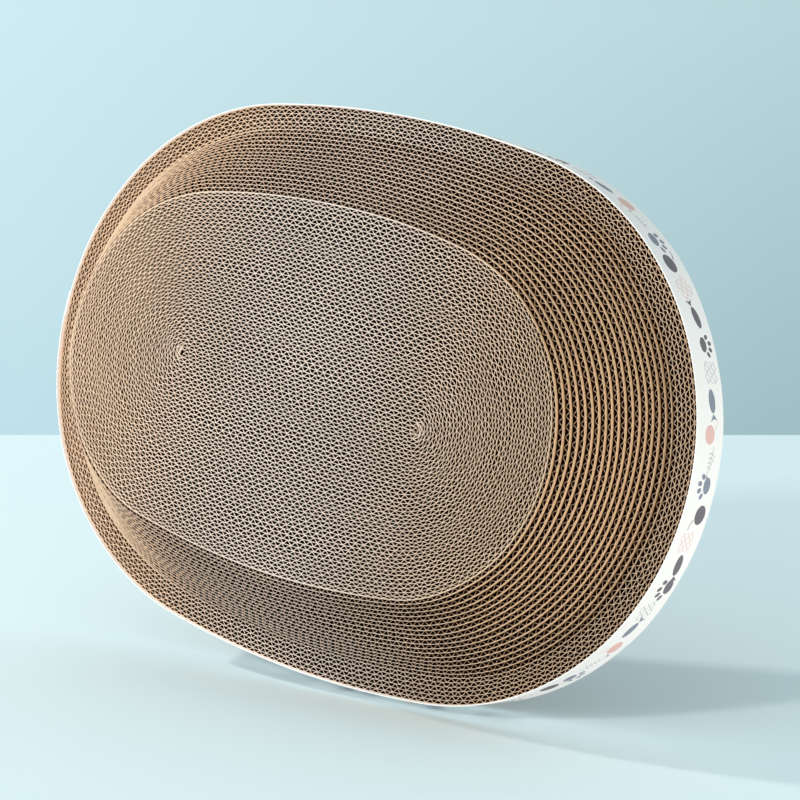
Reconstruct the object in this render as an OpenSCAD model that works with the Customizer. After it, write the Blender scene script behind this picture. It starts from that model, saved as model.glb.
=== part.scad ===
// Oval cat scratcher wound from strips of corrugated board set on edge.
// It stands the way it is used: the flat oval floor is down and the bowl is open upwards.
// X is the length and Y the width. The origin is under the middle, on the surface it stands on.

/* [Floor] */
// Width of the flat oval floor
floor_w = 212; // [190:2:230]
// Length of the flat oval floor
floor_l = 346; // [330:2:380]
// How far each long side of the floor bows outwards
floor_bow = 6.7; // [2:0.1:9]

/* [Bowl] */
// Width of the stepped slope, seen from above
slope_w = 44; // [34:1:54]
// Height that the slope climbs from the floor to the rim
bowl_depth = 53; // [35:1:70]
// Width of the flat rim
rim_w = 15; // [8:1:22]
// How far each long side of the rim bows outwards
rim_bow = 5.5; // [2:0.1:9]
// Width of slope and rim at the two ends, as a share of their width at the sides
end_width_share = 0.97; // [0.94:0.01:1]

/* [Board] */
// Height of every strip of board
strip_h = 28; // [20:1:40]
// Distance from one turn to the next at the sides
turn_pitch = 2.5; // [2.3:0.1:3]
// Clearance between neighbouring turns at the sides
turn_gap = 0.55; // [0.5:0.05:0.8]

/* [Core] */
// Distance between the two tight folds at the middle seam
core_l = 172; // [150:2:180]
// Angle in degrees that the middle seam is turned out of line
seam_angle = 2.2; // [0:0.1:4]
// Radius of the small hole that stays open inside a tight fold
fold_r = 1; // [0.6:0.1:1.2]

/* [Strips] */
// Number of strips in the floor, after the core strip
floor_strips = 24; // [18:1:28]
// Number of strips in the slope
slope_strips = 18; // [14:1:20]
// Number of strips in the rim
rim_strips = 8; // [6:1:9]

/* [Wrap] */
// Thickness of the printed paper
wrap_t = 0.6; // [0.3:0.05:0.9]
// How far the paper stands out below the rim strips
wrap_overhang = 1.2; // [0.4:0.1:2]
// Clearance between the paper and the board
wrap_gap = 0.1; // [0.05:0.05:0.2]
// Length of the paper that laps over its own start
wrap_lap = 18; // [12:1:40]
// Thickness of the pressed end of the last strip, under the paper
tail_t = 0.3; // [0.2:0.05:0.5]

/* [Hidden] */

board_colour = "#b58e63";
core_colour = "#c29c70";
slope_colour = "#a87c50";
rim_colour = "#9d7850";
paper_colour = "#f2f1ee";

// A loop of the coil is drawn with this many rings, most of them round its two ends.
loop_rings = 40;
end_rings = 16;
end_share = end_rings / loop_rings;
side_share = (1 - 2 * end_share) / 2;
// The last strip is pressed thin over this many rings.
tail_rings = 3;

// Every place in the coil is known by its reach: its distance from the middle seam to the side.
floor_reach = floor_w / 2;
slope_reach = floor_reach + slope_w;
coil_reach = slope_reach + rim_w;
half_board = (turn_pitch - turn_gap) / 2;
core_reach = turn_pitch / 2;
tail_reach = coil_reach - turn_pitch * tail_rings / loop_rings;
// Half the mean straight run of a turn, which the length of board in the coil follows.
mean_straight = (core_l / 2 + floor_l / 2 - floor_reach) / 2;

// Half length of the oval at a reach.
function half_length(reach) = reach < floor_reach
    ? core_l / 2 + (floor_l - core_l) / 2 * reach / floor_reach
    : floor_l / 2 + (reach - floor_reach) * end_width_share;

// Bow of the long sides at a reach.
function bow(reach) = reach < floor_reach
    ? floor_bow * reach / floor_reach
    : floor_bow + (rim_bow - floor_bow) * (reach - floor_reach) / (coil_reach - floor_reach);

// Turns wound from a reach to the end of the coil, below zero inside it. A whole number is at the -X end.
function turns(reach) = (reach - coil_reach) / turn_pitch;

// Direction of the wall at a share of the way round: it faces -X at 0 and +X at one half.
function facing(way, half_arc) = lookup(way, [
    [0, 180],
    [end_share / 2, 180 + half_arc],
    [end_share / 2 + side_share, 360 - half_arc],
    [end_share * 3 / 2 + side_share, 360 + half_arc],
    [1 - end_share / 2, 540 - half_arc],
    [1, 540]
]);

// A point on the oval of one reach, drawn with four arcs: two ends and two bowed sides.
function oval_point(reach, way) =
    let (
        b = bow(reach),
        c = half_length(reach) - reach + b,
        d = (c * c - b * b) / (2 * b),
        a = facing(way, atan2(d, c)),
        on_left = way <= end_share / 2 || way >= 1 - end_share / 2,
        on_right = abs(way - 1 / 2) <= end_share / 2,
        middle_x = on_left ? -c : on_right ? c : 0,
        middle_y = on_left || on_right ? 0 : way < 1 / 2 ? d : -d,
        r = on_left || on_right ? reach - b : reach + d,
        x = middle_x + r * cos(a),
        y = middle_y + r * sin(a),
        twist = seam_angle * max(0, 1 - reach / floor_reach)
    )
    [x * cos(twist) - y * sin(twist), x * sin(twist) + y * cos(twist)];

// The same point for a wall that lies beside the winding line at a reach. The coil starts on the
// seam, so there the inner wall of its first straight run lies across it, until the first fold.
function wall_point(reach, beside) =
    let (
        way = turns(reach) - floor(turns(reach)),
        wall = reach + beside
    )
    wall < 0 && way <= end_share / 2 + side_share
        ? oval_point(-wall, 1 - way)
        : oval_point(max(wall, fold_r), way);

// The number of the ring nearest to a reach, counted back from the end of the coil, and a ring's own reach.
function ring_at(reach) = round(turns(reach) * loop_rings);
function ring_reach(ring) = coil_reach + ring * turn_pitch / loop_rings;

// How far a strip's outer wall stands off the winding line. It closes in over the pressed end.
function outer_side(reach) =
    half_board - (2 * half_board - tail_t) * max(0, (reach - tail_reach) / (coil_reach - tail_reach));

// The walls of a strip that runs from one ring to another.
function inner_wall(first, last) =
    [for (j = [first:last]) wall_point(ring_reach(j), -half_board)];
function outer_wall(first, last) =
    [for (j = [first:last]) wall_point(ring_reach(j), outer_side(ring_reach(j)))];
function reversed(list) = [for (i = [len(list) - 1:-1:0]) list[i]];

// Height of a strip's lower edge at a reach.
function climb(reach) = bowl_depth * min(1, max(0, (reach - floor_reach) / slope_w));

// Length of board wound up to a reach, and the reach at which a length is wound.
function wound(reach) = (PI * reach * reach + 4 * mean_straight * reach) / turn_pitch;
function reach_of(run) = (sqrt(4 * mean_straight * mean_straight + PI * turn_pitch * run) - 2 * mean_straight) / PI;

// The ring of joint k when a zone is made of equal strips. Every joint lies on a ring.
function joint(start, end, k, count) =
    ring_at(reach_of(wound(start) + (wound(end) - wound(start)) * k / count));

function floor_joint(k) = joint(core_reach, floor_reach, k, floor_strips + 1);

// The core strip starts where the straight run before its first fold does.
core_start = floor_joint(0) - (loop_rings - end_rings) / 2;
function slope_joint(k) = joint(floor_reach, slope_reach, k, slope_strips);
function rim_joint(k) = joint(slope_reach, coil_reach, k, rim_strips);

// The paper lies on the last turn and then on its own start.
lap_turns = wrap_lap / (PI * coil_reach / 2) * end_share / 2;
function wrap_side(reach) = reach > coil_reach
    ? half_board - turn_pitch + wrap_t + 2 * wrap_gap
    : outer_side(reach) + wrap_gap;
wrap_reaches = concat(
    [for (j = [-loop_rings:0]) ring_reach(j)],
    [for (share = [1 / 2, 1]) coil_reach + turn_pitch * lap_turns * share]
);
wrap_inside = [for (reach = wrap_reaches) wall_point(reach, wrap_side(reach))];
wrap_outside = [for (reach = wrap_reaches) wall_point(reach, wrap_side(reach) + wrap_t)];

// The middle of the whole outline is brought over the origin.
outline_x = [for (p = wrap_outside) p.x];
outline_y = [for (p = wrap_outside) p.y];
middle = -[max(outline_x) + min(outline_x), max(outline_y) + min(outline_y)] / 2;

// The least gap from any turn to the next one out, and the length of each kind of strip.
function gap_to_edge(p, a, b) =
    let (share = max(0, min(1, (p - a) * (b - a) / ((b - a) * (b - a)))))
    norm(p - a - share * (b - a));
gaps = [for (j = [core_start : -loop_rings - 1])
    let (
        p = wall_point(ring_reach(j), half_board),
        q = [for (next = [-1:1]) wall_point(ring_reach(j + loop_rings + next), -half_board)]
    )
    min(gap_to_edge(p, q[0], q[1]), gap_to_edge(p, q[1], q[2]))];
side_rings = side_share * loop_rings;
seam_gaps = [for (k = [0:side_rings])
    norm(wall_point(ring_reach(core_start + k), -half_board)
        - wall_point(ring_reach(core_start + loop_rings - end_rings - k), -half_board))];
function strip_length(first, last) =
    let (points = [for (j = [first:last]) wall_point(ring_reach(j), 0)])
    [for (i = [1:len(points) - 1]) norm(points[i] - points[i - 1])] * [for (i = [1:len(points) - 1]) 1];

echo(least_gap_between_turns = min(gaps), least_gap_at_seam = min(seam_gaps));
echo(turns_in_coil = (coil_reach - core_reach) / turn_pitch, turns_in_slope = slope_w / turn_pitch);
echo(board_length = strip_length(core_start, rim_joint(rim_strips)));
echo(core_strip_length = strip_length(core_start, floor_joint(1)));
echo(floor_strip_lengths = [for (k = [1:floor_strips]) strip_length(floor_joint(k), floor_joint(k + 1))]);
echo(slope_strip_lengths = [for (k = [1:slope_strips]) strip_length(slope_joint(k - 1), slope_joint(k))]);
echo(rim_strip_lengths = [for (k = [1:rim_strips]) strip_length(rim_joint(k - 1), rim_joint(k))]);

// A strip that lies level.
module level_strip(first, last, lift) {
    translate([middle.x, middle.y, lift])
        linear_extrude(strip_h)
            polygon(concat(inner_wall(first, last), reversed(outer_wall(first, last))));
}

// A strip that climbs the slope: four corners at each ring, joined by triangles.
module climbing_strip(first, last) {
    inside = inner_wall(first, last);
    outside = outer_wall(first, last);
    lift = [for (j = [first:last]) climb(ring_reach(j))];
    count = len(lift) - 1;
    corners = [for (i = [0:count]) each [
        [inside[i].x, inside[i].y, lift[i]],
        [outside[i].x, outside[i].y, lift[i]],
        [outside[i].x, outside[i].y, lift[i] + strip_h],
        [inside[i].x, inside[i].y, lift[i] + strip_h]
    ]];
    walls = [for (i = [0:count - 1], c = [0:3])
        let (a = 4 * i + c, b = 4 * i + (c + 1) % 4)
        each [[a, b, b + 4], [a, b + 4, a + 4]]];
    far = 4 * count;
    ends = [[2, 1, 0], [3, 2, 0], [far, far + 1, far + 2], [far, far + 2, far + 3]];
    translate([middle.x, middle.y, 0])
        polyhedron(corners, concat(walls, ends));
}

module core_strip() {
    color(core_colour)
        level_strip(core_start, floor_joint(1), 0);
}

module floor_strip(k) {
    color(board_colour)
        level_strip(floor_joint(k), floor_joint(k + 1), 0);
}

module slope_strip(k) {
    color(slope_colour)
        climbing_strip(slope_joint(k - 1), slope_joint(k));
}

module rim_strip(k) {
    color(rim_colour)
        level_strip(rim_joint(k - 1), rim_joint(k), bowl_depth);
}

module paper_wrap() {
    color(paper_colour)
        translate([middle.x, middle.y, bowl_depth - wrap_overhang])
            linear_extrude(strip_h + wrap_overhang)
                polygon(concat(wrap_inside, reversed(wrap_outside)));
}

core_strip();
for (k = [1:floor_strips]) floor_strip(k);
for (k = [1:slope_strips]) slope_strip(k);
for (k = [1:rim_strips]) rim_strip(k);
paper_wrap();
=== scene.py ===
"""Cardboard cat scratcher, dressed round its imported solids.

Every strip is built as the real board is: a smooth liner with a fluted paper glued to it, wound
edge to edge round the middle seam. The lengths in the winding formulas are in millimetres.
"""
import math

import bmesh
import bpy
import numpy as np
from bpy.props import FloatProperty, FloatVectorProperty, IntProperty, PointerProperty
from bpy.types import Operator, Panel, PropertyGroup
from mathutils import Matrix, Vector
from mathutils.geometry import delaunay_2d_cdt


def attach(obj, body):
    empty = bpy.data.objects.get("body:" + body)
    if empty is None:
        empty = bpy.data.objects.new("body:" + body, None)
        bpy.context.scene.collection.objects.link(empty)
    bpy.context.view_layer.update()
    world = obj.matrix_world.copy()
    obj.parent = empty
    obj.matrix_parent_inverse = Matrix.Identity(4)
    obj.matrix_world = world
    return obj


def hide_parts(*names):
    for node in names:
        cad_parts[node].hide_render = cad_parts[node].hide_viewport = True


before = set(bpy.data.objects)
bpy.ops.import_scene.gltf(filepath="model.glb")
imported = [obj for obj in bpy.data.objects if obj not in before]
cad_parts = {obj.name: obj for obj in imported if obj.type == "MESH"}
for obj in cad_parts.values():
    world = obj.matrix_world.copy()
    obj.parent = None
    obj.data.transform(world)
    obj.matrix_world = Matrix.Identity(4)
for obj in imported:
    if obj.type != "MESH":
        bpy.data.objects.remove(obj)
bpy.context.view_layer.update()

bl_info = {
    "name": "Cardboard cat scratcher",
    "version": (1, 0, 0),
    "blender": (4, 5, 0),
    "location": "3D View > Sidebar > Scratcher",
    "description": "Oval cat scratcher wound from strips of corrugated board",
    "category": "Add Mesh",
}

MM = 0.001
TURN = 2 * math.pi

# The winding, as the solids have it.
FLOOR_REACH, SLOPE_REACH, COIL_REACH = 106.0, 150.0, 165.0
FLOOR_LENGTH, CORE_LENGTH = 346.0, 172.0
FLOOR_BOW, RIM_BOW = 6.7, 5.5
END_WIDTH_SHARE = 0.97
BOWL_DEPTH, STRIP_HEIGHT = 53.0, 28.0
TURN_PITCH, HALF_BOARD = 2.5, 0.975
SEAM_ANGLE = 2.2
CORE_REACH = TURN_PITCH / 2
FOLD_RADIUS = 1.0
STRAIGHT = (CORE_LENGTH / 2 + FLOOR_LENGTH / 2 - FLOOR_REACH) / 2
LOOP_RINGS, END_RINGS, TAIL_RINGS = 40, 16, 3
START_REACH = CORE_REACH - TURN_PITCH * (LOOP_RINGS - END_RINGS) / 2 / LOOP_RINGS
STRAIGHT_END = 1 / 2 - END_RINGS / LOOP_RINGS / 2
TAIL_REACH = COIL_REACH - TURN_PITCH * TAIL_RINGS / LOOP_RINGS
TAIL_THICKNESS = 0.3
WRAP_THICKNESS, WRAP_GAP, WRAP_LAP, WRAP_OVERHANG = 0.6, 0.1, 18.0, 1.2
FLOOR_STRIPS, SLOPE_STRIPS, RIM_STRIPS = 24, 18, 8
TIGHTEST_WALL = 0.01

# The gap at a butt, the overlap of glued papers, and the reach over which the last turn meets the wrap.
BUTT_GAP, GLUED, WRAP_EASE = 0.25, 0.03, 0.6
# Up to this reach the coil bends so tightly that the liner needs more points.
TIGHT_REACH = 30.0
# Length of a wave of the cut edges, and how far and at which reaches they are tucked in under the wrap.
EDGE_WAVE = 60.0
TUCK, TUCK_START, TUCK_RUN = 0.7, COIL_REACH - 4, 2.0
# Where the surroundings of a fold start, as a share of a turn from the middle of a long side.
FOLD_START, FOLD_FADE = 0.05, 0.03
# Up to which reach each fold is crushed, and up to which it leaves a hole, each with its fade.
CRUSHED_FOLD, FOLD_HOLE = (7.0, 5.0), (2.6, 0.3)
FOLD_CRUSH, LAST_TURN_CRUSH, CREST_CRUSH = 1.6, 1.2, 1.5
# Where along the length the crushed end starts, and how far from there it is crushed in full.
END_START, END_RUN = -60.0, 120.0
SHARP_ANGLE = math.radians(50)


# The winding formulas

def half_length(reach):
    """Half length of the oval at a reach, which is the distance from the seam to the side."""
    within = CORE_LENGTH / 2 + (FLOOR_LENGTH - CORE_LENGTH) / 2 * reach / FLOOR_REACH
    beyond = FLOOR_LENGTH / 2 + (reach - FLOOR_REACH) * END_WIDTH_SHARE
    return np.where(reach < FLOOR_REACH, within, beyond)


def side_bow(reach):
    """How far a long side bows outwards at a reach."""
    beyond = FLOOR_BOW + (RIM_BOW - FLOOR_BOW) * (reach - FLOOR_REACH) / (COIL_REACH - FLOOR_REACH)
    return np.where(reach < FLOOR_REACH, FLOOR_BOW * reach / FLOOR_REACH, beyond)


def oval_points(reach, way):
    """Points on the ovals of these reaches. The way runs from 0 at the -X end once round to 1."""
    end_share = END_RINGS / LOOP_RINGS
    first, second = end_share / 2, 1 / 2 - end_share / 2
    third, fourth = 1 / 2 + end_share / 2, 1 - end_share / 2
    bow = side_bow(reach)
    centre = half_length(reach) - reach + bow
    drop = (centre * centre - bow * bow) / (2 * bow)
    swing = np.arctan2(drop, centre)
    side_turn = (math.pi - 2 * swing) / (second - first)
    angle = np.select(
        [way <= first, way <= second, way <= third, way <= fourth],
        [
            math.pi + swing * way / first,
            math.pi + swing + side_turn * (way - first),
            TURN - swing + 2 * swing * (way - second) / (third - second),
            TURN + swing + side_turn * (way - third),
        ],
        TURN + math.pi - swing + swing * (way - fourth) / (1 - fourth),
    )
    on_left = (way <= first) | (way >= fourth)
    on_right = (way >= second) & (way <= third)
    on_end = on_left | on_right
    middle_x = np.where(on_left, -centre, np.where(on_right, centre, 0))
    middle_y = np.where(on_end, 0, np.where(way < 1 / 2, drop, -drop))
    radius = np.where(on_end, reach - bow, reach + drop)
    x = middle_x + radius * np.cos(angle)
    y = middle_y + radius * np.sin(angle)
    twist = np.radians(SEAM_ANGLE * np.maximum(0, 1 - reach / FLOOR_REACH))
    return np.stack([x * np.cos(twist) - y * np.sin(twist), x * np.sin(twist) + y * np.cos(twist)], 1)


def turns_left(reach):
    """Turns from a reach to the end of the coil, as a number below zero."""
    return (reach - COIL_REACH) / TURN_PITCH


def beside_line(reach, wall):
    """Points on walls at these reaches, at the way round that the winding line has at its own reach.

    The coil starts with a straight run on the seam, which lies across it, and then folds round itself.
    """
    turns = turns_left(reach)
    way = turns - np.floor(turns)
    straight = (reach < CORE_REACH) & (way <= STRAIGHT_END)
    across = straight & (wall < 0)
    wall = np.where(straight, np.maximum(np.abs(wall), TIGHTEST_WALL), np.maximum(wall, FOLD_RADIUS))
    return oval_points(wall, np.where(across, 1 - way, way))


def wall_points(reach, beside):
    """Points that lie beside the winding line, at the same way round."""
    return beside_line(reach, reach + beside)


def outer_limit(reach):
    """How far the solid's outer wall stands off the winding line. It closes in at the tail."""
    closing = np.clip((reach - TAIL_REACH) / (COIL_REACH - TAIL_REACH), 0, 1)
    return HALF_BOARD - (2 * HALF_BOARD - TAIL_THICKNESS) * closing


def climb(reach):
    """Height of a strip's lower edge at a reach."""
    share = (reach - FLOOR_REACH) / (SLOPE_REACH - FLOOR_REACH)
    return BOWL_DEPTH * np.clip(share, 0, 1)


def wound(reach):
    """Length of board wound up to a reach, as the solids count it."""
    return (math.pi * reach * reach + 4 * STRAIGHT * reach) / TURN_PITCH


def joint_reach(start, end, k, count):
    """Reach of joint k when a zone is made of equal strips. Joints lie on rings."""
    run = wound(start) + (wound(end) - wound(start)) * k / count
    reach = (math.sqrt(4 * STRAIGHT * STRAIGHT + math.pi * TURN_PITCH * run) - 2 * STRAIGHT) / math.pi
    ring = math.floor(turns_left(reach) * LOOP_RINGS + 0.5)
    return COIL_REACH + ring * TURN_PITCH / LOOP_RINGS


def strip_table():
    """Name, first reach and last reach of every strip, from the seam outwards."""
    rows = []
    for zone, start, end, strips in (
        ("floor", CORE_REACH, FLOOR_REACH, FLOOR_STRIPS),
        ("slope", FLOOR_REACH, SLOPE_REACH, SLOPE_STRIPS),
        ("rim", SLOPE_REACH, COIL_REACH, RIM_STRIPS),
    ):
        names = [] if rows else ["core_strip"]
        names += [f"{zone}_strip_{k + 1}" for k in range(strips)]
        for k, name in enumerate(names):
            first = joint_reach(start, end, k, len(names)) if rows else START_REACH
            rows.append((name, first, joint_reach(start, end, k + 1, len(names))))
    return rows


def wrap_line(reach):
    """Points on the outside of the paper wrap."""
    return wall_points(reach, wrap_side(reach) + WRAP_THICKNESS)


def outline_middle():
    """The middle of the whole outline, which the solids bring over the origin."""
    rings = np.arange(-LOOP_RINGS, 1)
    reach = np.concatenate([COIL_REACH + rings * TURN_PITCH / LOOP_RINGS, lap_reaches()])
    points = wrap_line(reach)
    return (points.max(0) + points.min(0)) / 2


def lap_reaches():
    """The two rings of the solid at which the paper laps over its own start."""
    lap_turns = WRAP_LAP / (math.pi * COIL_REACH / 2) * END_RINGS / LOOP_RINGS / 2
    return COIL_REACH + TURN_PITCH * lap_turns * np.array([0.5, 1.0])


def wrap_side(reach):
    """How far the paper's inner face stands off the winding line."""
    lapped = HALF_BOARD - TURN_PITCH + WRAP_THICKNESS + 2 * WRAP_GAP
    return np.where(reach > COIL_REACH, lapped, outer_limit(reach) + WRAP_GAP)


MIDDLE = outline_middle()


def line_lengths(points):
    """Length of a line up to each of its points."""
    return np.concatenate([[0], np.cumsum(np.linalg.norm(np.diff(points, axis=0), axis=1))])


def winding_lengths():
    """Reach and length of board from the seam, in small steps along the whole coil."""
    steps_in_turn = 480
    turns = np.arange(round(turns_left(START_REACH) * steps_in_turn), 1) / steps_in_turn
    reach = COIL_REACH + turns * TURN_PITCH
    return reach, line_lengths(wall_points(reach, 0))


REACHES, LENGTHS = winding_lengths()


def settle(reach, way_turns):
    """Small unevenness of the turns, the same on both sides of a joint between two turns."""
    way = TURN * way_turns
    wave = 0.5 * np.sin(3 * way + reach / 7.0) + 0.3 * np.sin(7 * way - reach / 4.3 + 1.7)
    wave += 0.2 * np.sin(13 * way + reach / 3.1 + 0.6)
    level_rim, fade = 3, 12
    return wave * np.clip((COIL_REACH - level_rim - reach) / fade, 0, 1) * np.clip(reach / fade, 0, 1)


def board_point(run, beside, unevenness):
    """Points of a strip, by the length of board up to them and their place across the board."""
    reach = np.interp(run, LENGTHS, REACHES)
    wall = reach + beside
    turns = turns_left(reach)
    wall = wall + unevenness * settle(wall, turns - np.floor(turns))
    return beside_line(reach, wall) - MIDDLE


def smooth_noise(rng, count, knots):
    """Gentle random values from -1 to 1, one for each of count places."""
    values = rng.uniform(-1, 1, max(knots, 2))
    at = np.linspace(0, len(values) - 1, count)
    low = np.minimum(at.astype(int), len(values) - 2)
    share = at - low
    share = share * share * (3 - 2 * share)
    return values[low] * (1 - share) + values[low + 1] * share


# Meshes

# Slots of a strip's materials.
LINER_FACE, FLUTE_FACE, FLUTE_EDGE, LINER_EDGE = range(4)


def mesh_object(name, points, faces, slots, hidden, materials):
    """A mesh piece from points in millimetres, quads with a slot each, and the points' hidden depths for the
    painted shade.
    """
    mesh = bpy.data.meshes.new(name)
    points = np.asarray(points, np.float32) * MM
    faces = np.asarray(faces, np.int32)
    corners = faces.shape[1]
    mesh.vertices.add(len(points))
    mesh.vertices.foreach_set("co", points.ravel())
    mesh.loops.add(faces.size)
    mesh.loops.foreach_set("vertex_index", faces.ravel())
    mesh.polygons.add(len(faces))
    mesh.polygons.foreach_set("loop_start", np.arange(0, faces.size, corners, dtype=np.int32))
    for material in materials:
        mesh.materials.append(material)
    mesh.polygons.foreach_set("material_index", np.asarray(slots, np.int32))
    mesh.polygons.foreach_set("use_smooth", np.ones(len(faces), bool))
    mesh.update(calc_edges=True)
    mesh.attributes.new("hidden", "FLOAT_VECTOR", "POINT").data.foreach_set("vector", hidden.ravel())
    mesh.validate()
    mesh.set_sharp_from_angle(angle=SHARP_ANGLE)
    piece = bpy.data.objects.new(name, mesh)
    bpy.context.scene.collection.objects.link(piece)
    return piece


def ribbon(inner, outer, low, high, inner_slot, outer_slot, edge_slot, shown_inside, shown_outside):
    """A paper set on edge: its lines in plan, its lower and upper edges, and how much of it shows.

    The inner face shows at the top for one length, and the outer face at the bottom for another. From
    there each point knows how deep it lies between the turns, counted from below and from above, which sets
    its painted shade.
    """
    count = len(inner)
    points = np.concatenate([
        np.column_stack([inner, low]), np.column_stack([outer, low]),
        np.column_stack([outer, high]), np.column_stack([inner, high]),
    ])
    step = np.arange(count - 1)
    quads, slots = [], []
    for a, b, slot in ((0, 1, edge_slot), (1, 2, outer_slot), (2, 3, edge_slot), (3, 0, inner_slot)):
        quads.append(np.column_stack([a * count + step, a * count + step + 1,
                                      b * count + step + 1, b * count + step]))
        slots.append(np.full(count - 1, slot))
    corners = np.arange(4) * count
    quads.append(np.array([corners, corners[::-1] + count - 1]))
    slots.append(np.full(2, edge_slot))
    tall, none = high - low, np.zeros(count)
    hidden = np.concatenate([
        np.column_stack([none, tall - shown_inside, none]), np.column_stack([-shown_outside, tall, none]),
        np.column_stack([tall - shown_outside, none, none]), np.column_stack([tall, -shown_inside, none]),
    ])
    return points, np.concatenate(quads), np.concatenate(slots), hidden.astype(np.float32)


def joined(ribbons):
    """Several ribbons as one set of points, faces, slots and hidden depths."""
    points, faces, slots, hidden = zip(*ribbons)
    starts = np.cumsum([0] + [len(part) for part in points[:-1]])
    faces = [part + start for part, start in zip(faces, starts)]
    return tuple(np.concatenate(parts) for parts in (points, faces, slots, hidden))


def edge_heights(rng, run, reach, settings):
    """Heights of a strip's lower and upper edges, which are never quite level in a real coil."""
    knots = int((run[-1] - run[0]) / EDGE_WAVE) + 2
    ragged = settings.edge_play / MM
    low = climb(reach) + ragged * (0.5 + 0.5 * smooth_noise(rng, len(run), knots))
    high = climb(reach) + STRIP_HEIGHT - ragged * (0.5 + 0.5 * smooth_noise(rng, len(run), knots))
    return low, high - TUCK * np.clip((reach - TUCK_START) / TUCK_RUN, 0, 1)


def near_fold(reach, limit, fade):
    """1 beside the two folds of the core strip, up to a reach, and 0 further out."""
    from_side = np.abs(turns_left(reach) % (1 / 2) - 1 / 4)
    return np.clip((limit - reach) / fade, 0, 1) * np.clip((from_side - FOLD_START) / FOLD_FADE, 0, 1)


def paper_thicknesses(settings, reach, x):
    """Thickness of the fluted paper and of the liner at their cut edges.

    Both are crushed thicker on the floor, at the far end of the coil and most of all round the two folds.
    The last turn of the floor and, at the far end, the last turn of the slope take the knocks, so their
    liners are the thickest.
    """
    past = reach - FLOOR_REACH
    on_floor = np.clip((1 - past) / 3, 0, 1)
    last_turn = np.clip(6 * (past + TURN_PITCH), 0, 1) * np.clip(-6 * past, 0, 1)
    crushed = 1 + settings.crushed_edge * on_floor
    crushed += FOLD_CRUSH * near_fold(reach, *CRUSHED_FOLD) * (1 - near_fold(reach, *FOLD_HOLE))
    at_end = np.clip((END_START - x) / END_RUN, 0, 1)
    crest = at_end * np.clip(1.5 - np.abs(reach - SLOPE_REACH + TURN_PITCH / 2) / TURN_PITCH * 2, 0, 1)
    thicker = 1 + settings.end_crush * at_end
    paper = settings.flute_thickness / MM * crushed * thicker
    liner = settings.liner_thickness / MM * (crushed + LAST_TURN_CRUSH * last_turn)
    return paper, liner * (thicker + CREST_CRUSH * crest)


def seam_fold(run, uneven, low, high):
    """The start of the liner, folded under, that fills the seam beside the first straight run."""
    reach = np.interp(run, LENGTHS, REACHES)
    count = int(np.sum(reach < CORE_REACH - TURN_PITCH * END_RINGS / LOOP_RINGS / 2))
    straight, none = run[:count], np.zeros(count)
    near = board_point(straight, none - TURN_PITCH / 2, uneven)
    far = board_point(straight, -reach[:count] - FOLD_RADIUS - GLUED, uneven)
    return ribbon(far, near, low[:count], high[:count], FLUTE_FACE, FLUTE_FACE, LINER_EDGE, none, none)


# Heights of the fluted paper at eight places along one flute, from the inner turn to its own liner.
FLUTE_SHAPE = np.array([0.0, 0.07, 0.5, 0.93, 1.0, 0.93, 0.5, 0.07])


def strip_mesh(settings, seed, first, last):
    """Points, faces, slots and hidden depths of one strip: its liner and its flutes."""
    rng = np.random.default_rng(seed)
    run_first, run_last = np.interp([first, last], REACHES, LENGTHS)
    length = run_last - run_first - 2 * BUTT_GAP
    flutes = round(length * MM / settings.flute_length)
    in_flute = len(FLUTE_SHAPE)

    share = np.arange(flutes * in_flute + 1) / (flutes * in_flute)
    drift = settings.flute_play / flutes * smooth_noise(rng, len(share), flutes // 2 + 2)
    drift *= np.minimum(1, 8 * np.minimum(share, 1 - share))
    run = run_first + BUTT_GAP + length * (share + drift)
    reach = np.interp(run, LENGTHS, REACHES)
    near_wrap = np.clip((reach - (COIL_REACH - TURN_PITCH - WRAP_EASE)) / WRAP_EASE, 0, 1)
    outside = TURN_PITCH / 2 - (TURN_PITCH / 2 - HALF_BOARD) * near_wrap - HALF_BOARD + outer_limit(reach)
    inside = -TURN_PITCH / 2 - GLUED
    paper, liner = paper_thicknesses(settings, reach, board_point(run, 0 * run, 0.0)[:, 0])
    thin = np.minimum(1, 0.9 * (outside - inside) / (liner + paper))

    heights = FLUTE_SHAPE[np.arange(len(share)) % in_flute]
    heights += settings.crush * heights * (1 - heights) * smooth_noise(rng, len(share), flutes)
    heights += (1 - heights) * near_fold(reach, *FOLD_HOLE)
    half = thin * paper / 2
    lowest = inside + half
    highest = outside - thin * (liner + paper / 2) + GLUED
    beside = lowest + (highest - lowest) * heights
    slope_run, slope_beside = np.gradient(run), np.gradient(beside)
    size = np.hypot(slope_run, slope_beside)
    off_run, off_beside = -slope_beside / size * half, slope_run / size * half
    uneven = settings.unevenness / MM
    inner = board_point(run - off_run, beside - off_beside, uneven)
    outer = board_point(run + off_run, beside + off_beside, uneven)
    low, high = edge_heights(rng, run, reach, settings)
    # Where the painted shade between the turns starts: below the shown part of the inner face, and partway
    # down the outer face's.
    shown_inside = climb(reach) - climb(reach - TURN_PITCH)
    shown_outside = settings.unshaded_share * (climb(reach + TURN_PITCH) - climb(reach))
    papers = [ribbon(inner, outer, low, high, FLUTE_FACE, FLUTE_FACE, FLUTE_EDGE, shown_inside, 0 * reach)]

    every = 2 if first < TIGHT_REACH else in_flute
    picks = np.unique(np.append(np.arange(0, len(run), every), len(run) - 1))
    inner = board_point(run[picks], (outside - thin * liner)[picks], uneven)
    outer = board_point(run[picks], outside[picks], uneven)
    papers.append(ribbon(inner, outer, low[picks], high[picks], FLUTE_FACE, LINER_FACE, LINER_EDGE,
                         0 * reach[picks], shown_outside[picks]))
    if first == START_REACH:
        papers.append(seam_fold(run, uneven, low, high))
    return joined(papers)


# Shader groups and materials

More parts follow.
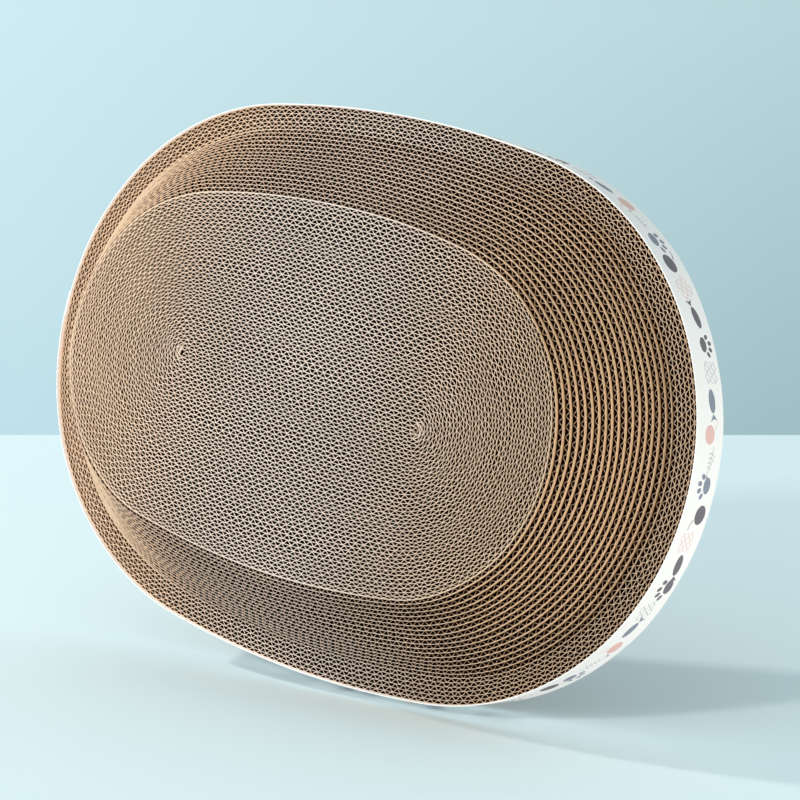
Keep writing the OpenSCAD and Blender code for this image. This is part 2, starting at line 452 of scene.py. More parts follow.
class Nodes:
    """A node tree with short ways to add nodes and links."""

    def __init__(self, tree):
        self.tree = tree

    def add(self, kind, inputs=None, **values):
        """Adds a node, and feeds its inputs from other nodes' sockets, numbers or colours."""
        node = self.tree.nodes.new(kind)
        for name, value in values.items():
            setattr(node, name, value)
        for name, value in (inputs or {}).items():
            socket = node.inputs[name]
            if isinstance(value, bpy.types.NodeSocket):
                self.tree.links.new(value, socket)
            else:
                socket.default_value = (*value, 1.0) if socket.type == "RGBA" else value
        return node

    def mix(self, factor, first, second, blend="MIX"):
        inputs = {0: factor, 6: first, 7: second}
        return self.add("ShaderNodeMix", inputs, data_type="RGBA", blend_type=blend).outputs[2]

    def maths(self, operation, *values):
        return self.add("ShaderNodeMath", dict(enumerate(values)), operation=operation).outputs[0]

    def ramp(self, value, start, end, low=0.0, high=1.0, kind="SMOOTHSTEP"):
        inputs = {"Value": value, "From Min": start, "From Max": end, "To Min": low, "To Max": high}
        return self.add("ShaderNodeMapRange", inputs, interpolation_type=kind).outputs["Result"]

    def noise(self, vector, scale, detail, stretch=(1.0, 1.0, 1.0)):
        place = self.add("ShaderNodeMapping", {"Vector": vector, "Scale": stretch}).outputs[0]
        inputs = {"Vector": place, "Scale": scale, "Detail": detail}
        return self.add("ShaderNodeTexNoise", inputs).outputs["Fac"]

    def shaded(self, colour, level):
        """A colour made darker or lighter by a level."""
        grey = self.add("ShaderNodeCombineColor", {0: level, 1: level, 2: level})
        return self.mix(1.0, colour, grey.outputs[0], "MULTIPLY")

    def split(self, vector):
        """The three parts of a vector."""
        return self.add("ShaderNodeSeparateXYZ", {0: vector}).outputs


# Places along the length, in metres, between which the board changes: how deep its papers stay clear of the
# painted shade between the turns, how brown it is towards both ends, and where its painted shade towards
# either end grows.
DEPTH_PLACES, BROWNING_PLACES, SHADE_PLACES = (-0.20, -0.04), (0.02, 0.15), (-0.13, 0.13)
UNSHADED_DEPTHS = (1.5, 0.6)
BROWNED, FLECK_COLOUR = (1.0, 0.88, 0.71), (0.20, 0.12, 0.07)
FIBRE_SCALE, FLECK_SCALE, DRIFT_SCALE = 900.0, 2600.0, 14.0
FLECK_LEVEL = 0.66
# Colour of the painted glow on the inside of the wrap paper.
GLOW_COLOUR = (1.0, 0.98, 0.95)
RELIEF_HEIGHT = 0.0001


def paper_fibres():
    """Fibres, flecks and changes of tone, as raw paper has them, and painted shade deep between the turns and
    at the ends.
    """
    tree = bpy.data.node_groups.get("Paper fibres")
    if tree:
        return tree
    tree = bpy.data.node_groups.new("Paper fibres", "ShaderNodeTree")
    for label, default in (
        ("Color", (0.6, 0.45, 0.3, 1)), ("Deep", (0.04, 0.02, 0.01, 1)), ("Fibre", 0.15), ("Fleck", 0.2),
        ("Drift", 0.15), ("Browning", 0.0), ("Left shade", 0.0), ("Right shade", 0.0),
    ):
        kind = "NodeSocketFloat" if isinstance(default, float) else "NodeSocketColor"
        tree.interface.new_socket(name=label, in_out="INPUT", socket_type=kind).default_value = default
    tree.interface.new_socket(name="Color", in_out="OUTPUT", socket_type="NodeSocketColor")
    tree.interface.new_socket(name="Height", in_out="OUTPUT", socket_type="NodeSocketFloat")
    nodes = Nodes(tree)
    given = nodes.add("NodeGroupInput").outputs
    place = nodes.add("ShaderNodeTexCoord").outputs["Object"]
    along = nodes.split(place)[0]
    fibre = nodes.noise(place, FIBRE_SCALE, 4.0, (1.0, 1.0, 0.25))
    fleck = nodes.noise(place, FLECK_SCALE, 2.0)
    drift = nodes.noise(place, DRIFT_SCALE, 2.0)
    fibre_level = nodes.maths("MULTIPLY_ADD", nodes.maths("SUBTRACT", fibre, 0.5), given["Fibre"], 1.0)
    drift_level = nodes.maths("MULTIPLY_ADD", nodes.maths("SUBTRACT", drift, 0.5), given["Drift"], 1.0)
    level = nodes.maths("MULTIPLY", fibre_level, drift_level)

    # Painted shade: darker towards the left or the right end.
    side = nodes.ramp(along, *SHADE_PLACES, -1.0)
    right = nodes.maths("MAXIMUM", nodes.maths("MULTIPLY", side, given["Right shade"]), 0.0)
    left = nodes.maths("MINIMUM", nodes.maths("MULTIPLY", side, given["Left shade"]), 0.0)
    level = nodes.maths("MULTIPLY", level, nodes.maths("SUBTRACT", 1.0, nodes.maths("SUBTRACT", right, left)))

    browned = nodes.ramp(nodes.maths("ABSOLUTE", along), *BROWNING_PLACES)
    surface = nodes.mix(nodes.maths("MULTIPLY", browned, given["Browning"]), given["Color"],
                        nodes.mix(1.0, given["Color"], BROWNED, "MULTIPLY"))
    # Painted shade deep between the turns: below its unshaded depth each point takes the deep colour.
    depths = nodes.split(nodes.add("ShaderNodeAttribute", attribute_name="hidden").outputs["Vector"])
    depth = nodes.maths("MINIMUM", depths[0], depths[1])
    deep = nodes.ramp(depth, 0.0, nodes.ramp(along, *DEPTH_PLACES, *UNSHADED_DEPTHS))
    toned = nodes.shaded(nodes.mix(deep, surface, given["Deep"]), level)
    spots = nodes.maths("MULTIPLY", nodes.maths("GREATER_THAN", fleck, FLECK_LEVEL), given["Fleck"])
    nodes.add("NodeGroupOutput", {"Color": nodes.mix(spots, toned, FLECK_COLOUR), "Height": fibre})
    return tree


def paper_material(name, colour, fibre, fleck, drift, bump=0.2, roughness=0.9, deep=None, browning=0.0,
                   shades=(0.0, 0.0), gloss=0.0, glow=0.0):
    """A paper of one colour, with another one as painted shade deep between the turns, and a painted glow in
    place of light shining through.
    """
    material = bpy.data.materials.new(name)
    material.use_nodes = True
    material.node_tree.nodes.clear()
    nodes = Nodes(material.node_tree)
    paper = nodes.add("ShaderNodeGroup", node_tree=paper_fibres(), inputs={
        "Color": colour, "Deep": deep or colour, "Fibre": fibre, "Fleck": fleck, "Drift": drift,
        "Browning": browning, "Left shade": shades[0], "Right shade": shades[1],
    })
    relief = nodes.add("ShaderNodeBump", {
        "Strength": bump, "Distance": RELIEF_HEIGHT, "Height": paper.outputs["Height"]})
    shader = nodes.add("ShaderNodeBsdfPrincipled", {
        "Base Color": paper.outputs["Color"], "Normal": relief.outputs["Normal"], "Roughness": roughness,
        "Specular IOR Level": gloss, "Emission Color": GLOW_COLOUR, "Emission Strength": glow,
    })
    nodes.add("ShaderNodeOutputMaterial", {"Surface": shader.outputs[0]})
    return material


def board_materials(settings, zone):
    """Liner face, flute face, cut edge of the flutes and cut edge of the liner.

    A pair of painted shades says how much darker an edge is painted towards the left and towards the right
    end.
    """
    # Each zone has its own copy of the cut edges; the slope's darker colour is painted shade.
    place, edge, edge_shades, liner_shades = {
        "slope": ("slope", settings.slope_edge_shaded_colour, (0.04, 0.2), (0.04, 0.0)),
        "rim": ("rim", settings.rim_edge_colour, (0.0, 0.25), (0.0, 0.2)),
    }.get(zone, ("floor", settings.edge_colour, (0.0, 0.2), (0.0, 0.08)))
    made = []
    for name, colour, deep, fibre, fleck, drift, shades in (
        ("kraft liner", settings.liner_colour, settings.deep_shade_colour, 0.35, 0.25, 0.2, (0.0, 0.0)),
        ("fluting paper", settings.flute_colour, settings.deep_shade_colour, 0.3, 0.25, 0.2, (0.0, 0.0)),
        (f"cut edge of flutes, {place}", edge, None, 0.5, 0.1, 0.25, edge_shades),
        (f"cut edge of liner, {place}", settings.liner_edge_colour, None, 0.5, 0.1, 0.25, liner_shades),
    ):
        made.append(bpy.data.materials.get(name) or paper_material(
            name, colour, fibre, fleck, drift, deep=deep, browning=1.0, shades=shades))
    return made


# Settings

class BoardSettings(PropertyGroup):
    """Sizes and colours of the corrugated board."""

    flute_length: FloatProperty(
        name="Flute length", description="Distance from one flute to the next along the strip",
        default=0.00545, subtype="DISTANCE", unit="LENGTH")
    flute_play: FloatProperty(
        name="Flute play", description="How far flutes stand from their even places, as a share of a flute",
        default=0.12, min=0.0, max=1.0)
    flute_thickness: FloatProperty(
        name="Fluting thickness", description="Thickness of the fluted paper at its cut edge",
        default=0.00043, subtype="DISTANCE", unit="LENGTH")
    liner_thickness: FloatProperty(
        name="Liner thickness", description="Thickness of the smooth paper",
        default=0.00035, subtype="DISTANCE", unit="LENGTH")
    # Painted shade: below this share each step's face is darkened as if in shade between the turns.
    unshaded_share: FloatProperty(
        name="Unshaded share", description="Share of each step's face that is not darkened", default=0.55,
        min=0.0, max=1.0)
    end_crush: FloatProperty(
        name="Crushed end", description="How much thicker the cut edges look at the far end of the coil",
        default=0.4, min=0.0, max=1.0)
    crushed_edge: FloatProperty(
        name="Crushed edge", description="How much thicker the cut edges are on the floor, as a share",
        default=0.15, min=0.0, max=1.0)
    crush: FloatProperty(
        name="Crush", description="How much the flanks of the weakest flutes are bent, from 0 to 1",
        default=0.6, min=0.0, max=1.0)
    unevenness: FloatProperty(
        name="Unevenness", description="How far the turns wander from an even spacing",
        default=0.0007, subtype="DISTANCE", unit="LENGTH")
    edge_play: FloatProperty(
        name="Edge play", description="How far the cut edges stand out of line with each other",
        default=0.0004, subtype="DISTANCE", unit="LENGTH")
    liner_colour: FloatVectorProperty(
        name="Liner", description="Face of the smooth paper", subtype="COLOR", size=3,
        default=(0.78, 0.53, 0.35), min=0.0, max=1.0)
    flute_colour: FloatVectorProperty(
        name="Fluting", description="Face of the fluted paper", subtype="COLOR", size=3,
        default=(0.50, 0.21, 0.08), min=0.0, max=1.0)
    # Painted shade: the colour both papers take deep between the turns.
    deep_shade_colour: FloatVectorProperty(
        name="Depth", description="Both papers deep between the turns", subtype="COLOR", size=3,
        default=(0.030, 0.007, 0.002), min=0.0, max=1.0)
    edge_colour: FloatVectorProperty(
        name="Cut edge on the floor", description="Cut edge of the fluted paper on the worn floor",
        subtype="COLOR", size=3, default=(0.98, 0.785, 0.69), min=0.0, max=1.0)
    # Painted shade: darker than the other cut edges, as the slope's edges lie in shade between the stepped
    # liners.
    slope_edge_shaded_colour: FloatVectorProperty(
        name="Cut edge on the slope", description="Cut edge of the fluted paper on the slope",
        subtype="COLOR", size=3, default=(0.74, 0.53, 0.41), min=0.0, max=1.0)
    rim_edge_colour: FloatVectorProperty(
        name="Cut edge on the rim", description="Cut edge of the fluted paper on the rim",
        subtype="COLOR", size=3, default=(0.97, 0.77, 0.65), min=0.0, max=1.0)
    liner_edge_colour: FloatVectorProperty(
        name="Liner edge", description="Cut edge of the smooth paper", subtype="COLOR", size=3,
        default=(1.0, 0.84, 0.74), min=0.0, max=1.0)


class WrapSettings(PropertyGroup):
    """Paper and inks of the wrap."""

    paper_colour: FloatVectorProperty(
        name="Paper", description="White of the wrap", subtype="COLOR", size=3,
        default=(0.93, 0.915, 0.895), min=0.0, max=1.0)
    charcoal: FloatVectorProperty(
        name="Charcoal ink", description="Darkest ink", subtype="COLOR", size=3,
        default=(0.17, 0.155, 0.175), min=0.0, max=1.0)
    slate: FloatVectorProperty(
        name="Slate ink", description="Blue-grey ink", subtype="COLOR", size=3,
        default=(0.25, 0.28, 0.34), min=0.0, max=1.0)
    pink: FloatVectorProperty(
        name="Pink ink", description="Pale pink ink", subtype="COLOR", size=3,
        default=(0.80, 0.52, 0.48), min=0.0, max=1.0)
    silver: FloatVectorProperty(
        name="Grey ink", description="Pale grey ink of the line drawings", subtype="COLOR", size=3,
        default=(0.50, 0.50, 0.51), min=0.0, max=1.0)
    # Painted light: the inside of the wrap paper glows, in place of light shining through it.
    painted_shine_through: FloatProperty(
        name="Shine through", description="Light that comes through the paper to its inside", default=0.35,
        min=0.0)
    lip: FloatProperty(
        name="Lip", description="How much further the edge of the paper stands out than in the solid model",
        default=0.0008, subtype="DISTANCE", unit="LENGTH")
    print_step: FloatProperty(
        name="Print step", description="Distance from one printed motif to the next",
        default=0.0150, subtype="DISTANCE", unit="LENGTH")
    seed: IntProperty(name="Seed", description="Changes the small irregularities of the print", default=7)


class StageSettings(PropertyGroup):
    """Floor, backdrop and light."""

    floor_colour: FloatVectorProperty(
        name="Floor", description="Colour of the floor", subtype="COLOR", size=3,
        default=(0.80, 0.94, 0.985), min=0.0, max=1.0)
    # Painted light: the backdrop glows in these four colours, brightest at its upper left.
    wall_low_left: FloatVectorProperty(
        name="Backdrop low left", description="Colour of the backdrop at its foot, on the left",
        subtype="COLOR", size=3, default=(0.53, 0.755, 0.825), min=0.0, max=1.0)
    wall_low_right: FloatVectorProperty(
        name="Backdrop low right", description="Colour of the backdrop at its foot, on the right",
        subtype="COLOR", size=3, default=(0.352, 0.515, 0.552), min=0.0, max=1.0)
    wall_high_left: FloatVectorProperty(
        name="Backdrop high left", description="Colour of the backdrop higher up, on the left",
        subtype="COLOR", size=3, default=(0.63, 0.84, 0.90), min=0.0, max=1.0)
    wall_high_right: FloatVectorProperty(
        name="Backdrop high right", description="Colour of the backdrop higher up, on the right",
        subtype="COLOR", size=3, default=(0.485, 0.672, 0.716), min=0.0, max=1.0)
    key_strength: FloatProperty(
        name="Key light", description="Power of the light on the left, behind the scratcher",
        default=47.0, min=0.0)
    front_strength: FloatProperty(
        name="Front light", description="Power of the light on the left, near the camera",
        default=48.0, min=0.0)
    side_strength: FloatProperty(
        name="Side box", description="Power of the light from below on the right",
        default=6.6, min=0.0)
    low_fill: FloatProperty(
        name="Low fill light", description="Strength of the light from all round at floor height",
        default=0.53, min=0.0)
    high_fill: FloatProperty(
        name="High fill light", description="Strength of the light from above", default=0.72, min=0.0)


# Pieces

def build_strips(context, wanted):
    """Builds the strips whose names start with one of the wanted words."""
    settings = context.scene.scratcher_board
    for seed, (name, first, last) in enumerate(strip_table(), 11):
        zone = name.split("_")[0]
        if zone not in wanted:
            continue
        piece = mesh_object(f"{name}_board", *strip_mesh(settings, seed, first, last),
                            board_materials(settings, zone))
        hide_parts(name)
        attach(piece, "root")


class SCRATCHER_OT_floor(Operator):
    """Winds the core strip and the floor strips"""

    bl_idname = "scratcher.floor"
    bl_label = "Floor strips"

    def execute(self, context):
        build_strips(context, ("core", "floor"))
        return {"FINISHED"}


class SCRATCHER_OT_slope(Operator):
    """Winds the strips that climb the slope"""

    bl_idname = "scratcher.slope"
    bl_label = "Slope strips"

    def execute(self, context):
        build_strips(context, ("slope",))
        return {"FINISHED"}


class SCRATCHER_OT_rim(Operator):
    """Winds the strips of the flat rim"""

    bl_idname = "scratcher.rim"
    bl_label = "Rim strips"

    def execute(self, context):
        build_strips(context, ("rim",))
        return {"FINISHED"}


# The printed paper

def ellipse(u, v, half_u, half_v, lean=0.0, points=14):
    """Outline of an ellipse."""
    angles = np.arange(points) * TURN / points
    x, y = half_u * np.cos(angles), half_v * np.sin(angles)
    cosine, sine = math.cos(lean), math.sin(lean)
    return np.stack([u + x * cosine - y * sine, v + x * sine + y * cosine], 1)


def stroke(points, width):
    """Outline of a line of one width through some points."""
    points = np.asarray(points, float)
    along = np.gradient(points, axis=0)
    along /= np.linalg.norm(along, axis=1)[:, None]
    side = np.stack([-along[:, 1], along[:, 0]], 1) * width / 2
    return np.concatenate([points + side, (points - side)[::-1]])


def paw():
    """A paw print: one pad and four toes."""
    toes = ((-4.1, 1.7, 0.5), (-1.5, 4.0, 0.15), (1.5, 4.0, -0.15), (4.1, 1.7, -0.5))
    return [ellipse(0, -2.0, 3.6, 2.9)] + [ellipse(u, v, 1.15, 1.7, lean, 10) for u, v, lean in toes]


def fish():
    """A small fish with a forked tail."""
    return [ellipse(-0.8, 0, 5.0, 2.7, 0, 18), np.array([(4.3, 0.0), (7.4, 2.8), (6.5, 0.0), (7.4, -2.8)])]


def yarn():
    """A ball of yarn with a loose end."""
    loose = [(3.2, -3.4), (5.6, -4.6), (7.8, -4.4), (7.7, -4.9), (5.5, -5.1), (2.9, -4.0)]
    return [ellipse(0, 0.6, 4.3, 4.3, 0, 20), np.array(loose)]


def scribble():
    """Five loose pencil waves."""
    u = np.linspace(-4.8, 4.8, 16)
    rows = (-4.4, -2.2, 0.0, 2.2, 4.4)
    return [stroke(np.stack([u, row + 0.7 * np.sin(u * 1.5 + row)], 1), 0.5) for row in rows]


def bone():
    """A fish bone: a spine with ribs and a tail."""
    shapes = [stroke([(-5.6, 0), (0, 0.01), (5.6, 0)], 0.5)]
    for u, size in ((-2.9, 2.6), (-1.1, 2.3), (0.7, 1.9), (2.5, 1.5)):
        for way in (1, -1):
            rib = [(u, 0.45 * way), (u + 0.5, size * 0.6 * way), (u + 0.9, size * way)]
            shapes.append(stroke(rib, 0.45))
    return shapes + [np.array([(5.8, 0.3), (7.4, 2.1), (7.4, -2.1), (5.8, -0.3)])]


# The motifs in their order along the paper, each with the slot of its ink.
MOTIFS = (
    (paw, 1), (scribble, 4), (fish, 2), (yarn, 3), (bone, 4), (paw, 2), (yarn, 1), (scribble, 3), (fish, 1),
)
INSIDE_SLOT = 5
# How far the first and the last motif keep from the ends of the paper, and the limits of what varies.
PRINT_START, PRINT_END = 9.0, 12
MOTIF_LEAN, MOTIF_RISE, MOTIF_SIZES, MOTIF_STEPS = 0.5, 2.8, (1.2, 1.4), (0.9, 1.15)
# How far apart the paper's points stand, and how far its lower and upper edges wander.
WRAP_STEP, LOW_PLAY, HIGH_PLAY = 4, 0.2, 0.9


def printed_face(settings, steps, low, high, length):
    """The outside of the paper, flat: points as length and height, triangles and the ink of each."""
    rng = np.random.default_rng(settings.seed)
    count = len(steps)
    flat = [*zip(steps, low), *zip(steps, high)]
    for share in (0.25, 0.5, 0.75):
        flat += [(s, a + (b - a) * share) for s, a, b in zip(steps[1:-1], low[1:-1], high[1:-1])]
    edges = [(k, k + 1) for start in (0, count) for k in range(start, start + count - 1)]
    edges += [(0, count), (count - 1, 2 * count - 1)]
    faces, inks = [], []
    place, k = PRINT_START, 0
    while place < length - PRINT_END:
        draw, ink = MOTIFS[k % len(MOTIFS)]
        lean = rng.uniform(-MOTIF_LEAN, MOTIF_LEAN) + (math.pi if k % 2 else 0)
        centre = np.array([place, BOWL_DEPTH + STRIP_HEIGHT / 2 + rng.uniform(-MOTIF_RISE, MOTIF_RISE)])
        size = rng.uniform(*MOTIF_SIZES)
        turn = np.array([[math.cos(lean), -math.sin(lean)], [math.sin(lean), math.cos(lean)]])
        for outline in draw():
            points = centre + size * outline @ turn.T
            x, y = points.T
            if np.sum(x * np.roll(y, -1) - y * np.roll(x, -1)) < 0:
                points = points[::-1]
            faces.append(list(range(len(flat), len(flat) + len(points))))
            flat += [tuple(p) for p in points]
            inks.append(ink)
        place += settings.print_step / MM * rng.uniform(*MOTIF_STEPS)
        k += 1
    result = delaunay_2d_cdt([Vector(p) for p in flat], edges, faces, 1, 1e-4)
    points = np.array([tuple(p) for p in result[0]])
    slots = [inks[sources[0]] if sources else 0 for sources in result[5]]
    return points, [tuple(face) for face in result[2]], slots


class SCRATCHER_OT_wrap(Operator):
    """Makes the printed paper that goes round the outside"""

    bl_idname = "scratcher.wrap"
    bl_label = "Paper wrap"

    def execute(self, context):
        settings = context.scene.scratcher_wrap
        rng = np.random.default_rng(settings.seed + 1)
        fine = np.linspace(COIL_REACH - TURN_PITCH, lap_reaches()[1], 4000)
        lengths = line_lengths(wrap_line(fine))
        count = int(lengths[-1] / WRAP_STEP)
        steps = np.linspace(0, lengths[-1], count)
        foot = BOWL_DEPTH - WRAP_OVERHANG - settings.lip / MM
        low = foot + LOW_PLAY * smooth_noise(rng, count, count // 6)
        high = BOWL_DEPTH + STRIP_HEIGHT - HIGH_PLAY * (1 - smooth_noise(rng, count, count // 5))
        points, triangles, slots = printed_face(settings, steps, low, high, lengths[-1])

        def place(run, side):
            reach = np.interp(run, lengths, fine)
            return wall_points(reach, wrap_side(reach) + side) - MIDDLE

        outside = np.column_stack([place(points[:, 0], WRAP_THICKNESS), points[:, 1]])
        inner = place(steps, 0)
        inside = np.concatenate([np.column_stack([inner, low]), np.column_stack([inner, high])])
        mesh = bpy.data.meshes.new("paper_wrap_print")
        before = len(outside)
        k = np.arange(count - 1)
        quads = [
            np.column_stack([before + k + 1, before + k, before + count + k, before + count + k + 1]),
            np.column_stack([k + 1, k, before + k, before + k + 1]),
            np.column_stack([count + k, count + k + 1, before + count + k + 1, before + count + k]),
        ]
        last, inner_last = count - 1, before + count - 1
        ends = [(0, count, before + count, before), (last + count, last, inner_last, inner_last + count)]
        faces = triangles + [tuple(q) for block in quads for q in block.tolist()] + ends
        mesh.from_pydata((np.concatenate([outside, inside]) * MM).tolist(), [], faces)
        # The inside of the paper glows with painted light in place of light shining through it.
        for name, colour, glow in (
            ("white wrap paper", settings.paper_colour, 0.0), ("charcoal ink", settings.charcoal, 0.0),
            ("slate ink", settings.slate, 0.0), ("pink ink", settings.pink, 0.0),
            ("grey ink", settings.silver, 0.0),
            ("inside of the wrap paper", settings.paper_colour, settings.painted_shine_through),
        ):
            mesh.materials.append(paper_material(
                name, colour, 0.06, 0.02, 0.05, bump=0.1, roughness=0.6, gloss=0.2, glow=glow))
        slots += [INSIDE_SLOT] * (len(quads[0]) + len(quads[1]))
        mesh.polygons.foreach_set("material_index", slots + [0] * (len(faces) - len(slots)))
        mesh.polygons.foreach_set("use_smooth", np.ones(len(faces), bool))
        mesh.update(calc_edges=True)
        mesh.validate()
        turned = bmesh.new()
        turned.from_mesh(mesh)
        bmesh.ops.recalc_face_normals(turned, faces=turned.faces)
        turned.to_mesh(mesh)
        turned.free()
        mesh.set_sharp_from_angle(angle=SHARP_ANGLE)
        piece = bpy.data.objects.new("paper_wrap_print", mesh)
        context.scene.collection.objects.link(piece)
        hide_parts("paper_wrap")
        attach(piece, "root")
        return {"FINISHED"}


# Stage

# The photograph's camera, in the part's frame: its place, and its right, up and forward directions.
CAMERA_PLACE = Vector((0.81133856, -0.13015903, -1.08151268))
CAMERA_RIGHT = Vector((0.79687708, -0.20683716, 0.56763134))
CAMERA_UP = Vector((-0.22137229, -0.974187, -0.04420398))
CAMERA_FORWARD = Vector((-0.5621221, 0.09043271, 0.8220953))
LENS, SENSOR, PICTURE = 108.0, 36.0, 800
LOOKING_DOWN = math.radians(9)
FLOOR_LINE = 435
WALL_HALF_WIDTH, WALL_HEIGHT = 0.36, 0.39
STAGE_HALF_WIDTH = 12.0
LAMP_COLOUR, SKY_COLOUR = (1.0, 0.94, 0.88), (0.84, 0.975, 1.0, 1.0)
# Direction, as a height above level, below which the light from all round is at its weakest.
SKY_FOOT = -0.2
# Each lamp's name, setting, size, and place: to the right of the scratcher, behind it and above it.
LAMPS = (
    ("key light", "key_strength", 0.18, (-2.93, 1.07, 1.86)),
    ("front light", "front_strength", 0.44, (-2.54, -2.45, 1.88)),
    ("side box", "side_strength", 0.70, (1.00, -0.42, -0.45)),
)


def stage_plane(name, origin, right, up, half):
    """A large plane, seen only from the side that its normal points to, and its nodes and shader choice."""
    mesh = bpy.data.meshes.new(name)
    corners = [(-half, -half, 0), (half, -half, 0), (half, half, 0), (-half, half, 0)]
    mesh.from_pydata(corners, [], [(0, 1, 2, 3)])
    material = bpy.data.materials.new(name)
    material.use_nodes = True
    material.node_tree.nodes.clear()
    nodes = Nodes(material.node_tree)
    front = nodes.maths("SUBTRACT", 1.0, nodes.add("ShaderNodeNewGeometry").outputs["Backfacing"])
    seen = nodes.maths("MULTIPLY", nodes.add("ShaderNodeLightPath").outputs["Is Camera Ray"], front)
    clear = nodes.add("ShaderNodeBsdfTransparent").outputs[0]
    choice = nodes.add("ShaderNodeMixShader", {0: seen, 1: clear})
    nodes.add("ShaderNodeOutputMaterial", {"Surface": choice.outputs[0]})
    mesh.materials.append(material)
    plane = bpy.data.objects.new(name, mesh)
    turned = Matrix((right, up, right.cross(up))).transposed().to_4x4()
    plane.matrix_world = Matrix.Translation(origin) @ turned
    bpy.context.scene.collection.objects.link(plane)
    return nodes, choice.inputs[2]


def paint_floor(nodes, shader, colour):
    """A matt floor with hardly visible changes of tone."""
    noise = nodes.noise(nodes.add("ShaderNodeTexCoord").outputs["Object"], 1.3, 1.0)
    toned = nodes.shaded(colour, nodes.maths("MULTIPLY_ADD", noise, 0.05, 0.975))
    nodes.tree.links.new(nodes.add("ShaderNodeBsdfDiffuse", {"Color": toned}).outputs[0], shader)


def paint_wall(nodes, shader, settings):
    """A backdrop that glows with painted light, brightest at its upper left."""
    place = nodes.split(nodes.add("ShaderNodeTexCoord").outputs["Object"])
    right = nodes.ramp(place[0], -WALL_HALF_WIDTH, WALL_HALF_WIDTH, kind="LINEAR")
    rise = nodes.ramp(place[1], 0.0, WALL_HEIGHT, kind="LINEAR")
    low = nodes.mix(right, settings.wall_low_left, settings.wall_low_right)
    high = nodes.mix(right, settings.wall_high_left, settings.wall_high_right)
    glow = nodes.add("ShaderNodeEmission", {"Color": nodes.mix(rise, low, high)})
    nodes.tree.links.new(glow.outputs[0], shader)


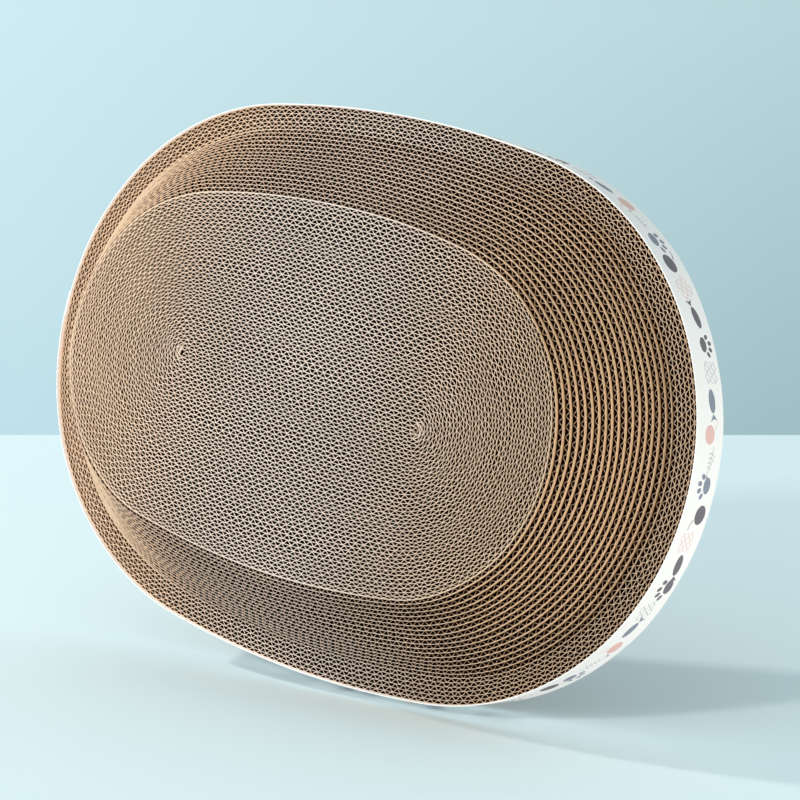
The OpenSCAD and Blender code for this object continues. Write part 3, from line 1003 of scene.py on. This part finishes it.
class SCRATCHER_OT_stage(Operator):
    """Makes the camera, the floor, the backdrop and the light"""

    bl_idname = "scratcher.stage"
    bl_label = "Stage"

    def execute(self, context):
        settings = context.scene.scratcher_stage
        scene = context.scene
        lens = bpy.data.cameras.new("photo camera")
        lens.lens, lens.sensor_width, lens.clip_start, lens.clip_end = LENS, SENSOR, 0.01, 50
        camera = bpy.data.objects.new("photo camera", lens)
        turned = Matrix((CAMERA_RIGHT, CAMERA_UP, -CAMERA_FORWARD)).transposed().to_4x4()
        camera.matrix_world = Matrix.Translation(CAMERA_PLACE) @ turned
        scene.collection.objects.link(camera)
        scene.camera = camera

        up = CAMERA_UP * math.cos(LOOKING_DOWN) - CAMERA_FORWARD * math.sin(LOOKING_DOWN)
        ahead = CAMERA_FORWARD * math.cos(LOOKING_DOWN) + CAMERA_UP * math.sin(LOOKING_DOWN)
        reach = np.linspace(COIL_REACH - TURN_PITCH, COIL_REACH, 2000)
        rim = (wrap_line(reach) - MIDDLE) * MM
        heights = (BOWL_DEPTH - WRAP_OVERHANG, BOWL_DEPTH + STRIP_HEIGHT)
        edges = [Vector((x, y, z * MM)) for x, y in rim for z in heights]
        above = max((CAMERA_PLACE - edge).dot(up) for edge in edges)
        slant = LOOKING_DOWN + math.atan((FLOOR_LINE - PICTURE / 2) * SENSOR / LENS / PICTURE)
        foot = CAMERA_PLACE - up * above
        corner = foot + ahead * above / math.tan(slant)
        half = STAGE_HALF_WIDTH
        paint_floor(*stage_plane("stage_floor", corner - ahead * half, CAMERA_RIGHT, ahead, half),
                    settings.floor_colour)
        paint_wall(*stage_plane("stage_backdrop", corner, CAMERA_RIGHT, up, half), settings)

        world = bpy.data.worlds.new("studio")
        world.use_nodes = True
        background = world.node_tree.nodes["Background"]
        background.inputs["Color"].default_value = SKY_COLOUR
        sky = Nodes(world.node_tree)
        rise = sky.add("ShaderNodeVectorMath", operation="DOT_PRODUCT", inputs={
            0: sky.add("ShaderNodeTexCoord").outputs["Generated"], 1: up}).outputs["Value"]
        fill = sky.ramp(rise, SKY_FOOT, 1.0, settings.low_fill, settings.high_fill, "LINEAR")
        sky.tree.links.new(fill, background.inputs["Strength"])
        scene.world = world

        for name, strength, size, (right, behind, higher) in LAMPS:
            light = bpy.data.lights.new(name, "AREA")
            light.energy, light.size, light.color = getattr(settings, strength), size, LAMP_COLOUR
            lamp = bpy.data.objects.new(name, light)
            offset = CAMERA_RIGHT * right + ahead * behind + up * higher
            place = Matrix.Translation(Vector((0, 0, BOWL_DEPTH * MM)) + offset)
            lamp.matrix_world = place @ offset.to_track_quat("Z", "Y").to_matrix().to_4x4()
            scene.collection.objects.link(lamp)
        scene.view_settings.view_transform = "Standard"
        return {"FINISHED"}


class SCRATCHER_PT_pieces(Panel):
    """Lists the pieces of the scratcher and their settings"""

    bl_label = "Cat scratcher"
    bl_idname = "SCRATCHER_PT_pieces"
    bl_space_type = "VIEW_3D"
    bl_region_type = "UI"
    bl_category = "Scratcher"

    def draw(self, context):
        for title, group, operators in (
            ("Board", context.scene.scratcher_board, ("scratcher.floor", "scratcher.slope", "scratcher.rim")),
            ("Wrap", context.scene.scratcher_wrap, ("scratcher.wrap",)),
            ("Stage", context.scene.scratcher_stage, ("scratcher.stage",)),
        ):
            box = self.layout.box()
            box.label(text=title)
            for name in group.bl_rna.properties.keys():
                if name not in ("rna_type", "name"):
                    box.prop(group, name)
            for operator in operators:
                box.operator(operator)


CLASSES = (
    BoardSettings, WrapSettings, StageSettings,
    SCRATCHER_OT_floor, SCRATCHER_OT_slope, SCRATCHER_OT_rim, SCRATCHER_OT_wrap, SCRATCHER_OT_stage,
    SCRATCHER_PT_pieces,
)


def register():
    """Registers the classes and the settings."""
    for item in CLASSES:
        bpy.utils.register_class(item)
    bpy.types.Scene.scratcher_board = PointerProperty(type=BoardSettings)
    bpy.types.Scene.scratcher_wrap = PointerProperty(type=WrapSettings)
    bpy.types.Scene.scratcher_stage = PointerProperty(type=StageSettings)


def unregister():
    """Takes the settings and the classes away again."""
    del bpy.types.Scene.scratcher_stage
    del bpy.types.Scene.scratcher_wrap
    del bpy.types.Scene.scratcher_board
    for item in reversed(CLASSES):
        bpy.utils.unregister_class(item)


def main():
    """Builds everything in order."""
    register()
    bpy.ops.scratcher.floor()
    bpy.ops.scratcher.slope()
    bpy.ops.scratcher.rim()
    bpy.ops.scratcher.wrap()
    bpy.ops.scratcher.stage()
    bpy.context.view_layer.update()


if __name__ == "__main__":
    main()
